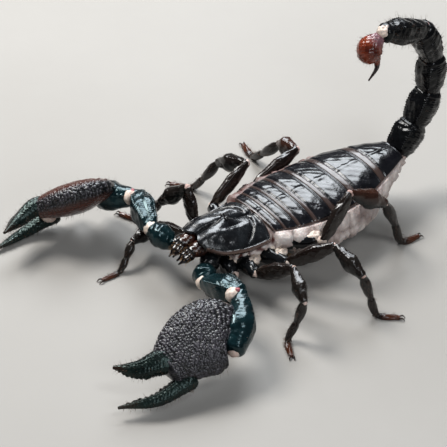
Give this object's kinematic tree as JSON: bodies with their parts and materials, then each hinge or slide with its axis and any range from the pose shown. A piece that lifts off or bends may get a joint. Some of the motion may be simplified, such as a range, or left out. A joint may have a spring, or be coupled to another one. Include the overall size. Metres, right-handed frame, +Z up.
{
  "type": "life-size emperor scorpion model",
  "caption": "Life-size emperor scorpion standing with open claws and its tail curled over, glossy black with a red-brown venom bulb.",
  "frame": {"origin": "on the floor, at the middle of the animal's footprint box", "axes": "+Z up, the head towards -Y and the tail towards +Y, the animal's left side at +X"},
  "size_m": [0.1055, 0.1544, 0.072],
  "materials": {
    "shell": "glossy",
    "leg_shell": "glossy",
    "leg_tip": "satin",
    "hand_shell": "satin",
    "membrane": "satin",
    "eye": "glossy",
    "chelicera": "glossy",
    "pectine": "satin",
    "venom_bulb": "glossy",
    "sting": "glossy"
  },
  "bodies": {
    "root": {"coxosternum": "shell", "carapace": "shell", "tergite_1": "shell", "tergite_2": "shell", "tergite_3": "shell", "tergite_4": "shell", "tergite_5": "shell", "tergite_6": "shell", "tergite_7": "shell", "sternites": "shell", "median_eye_left": "eye", "median_eye_right": "eye", "trunk": "membrane", "chelicera_left": "chelicera", "pectine_left": "pectine", "chelicera_right": "chelicera", "pectine_right": "pectine", "metasoma_1": "shell", "metasoma_2": "shell", "metasoma_3": "shell", "metasoma_4": "shell", "metasoma_5": "shell", "vesicle": "venom_bulb", "aculeus": "sting", "pedipalp_trochanter_left": "shell", "pedipalp_femur_left": "shell", "pedipalp_patella_left": "shell", "pedipalp_hand_left": "hand_shell", "pedipalp_finger_left": "hand_shell", "pedipalp_trochanter_right": "shell", "pedipalp_femur_right": "shell", "pedipalp_patella_right": "shell", "pedipalp_hand_right": "hand_shell", "pedipalp_finger_right": "hand_shell", "femur_left_1": "leg_shell", "patella_left_1": "leg_shell", "foot_left_1": "leg_tip", "femur_left_2": "leg_shell", "patella_left_2": "leg_shell", "foot_left_2": "leg_tip", "femur_left_3": "leg_shell", "patella_left_3": "leg_shell", "foot_left_3": "leg_tip", "femur_left_4": "leg_shell", "patella_left_4": "leg_shell", "foot_left_4": "leg_tip", "femur_right_1": "leg_shell", "patella_right_1": "leg_shell", "foot_right_1": "leg_tip", "femur_right_2": "leg_shell", "patella_right_2": "leg_shell", "foot_right_2": "leg_tip", "femur_right_3": "leg_shell", "patella_right_3": "leg_shell", "foot_right_3": "leg_tip", "femur_right_4": "leg_shell", "patella_right_4": "leg_shell", "foot_right_4": "leg_tip"}
  },
  "joints": []
}
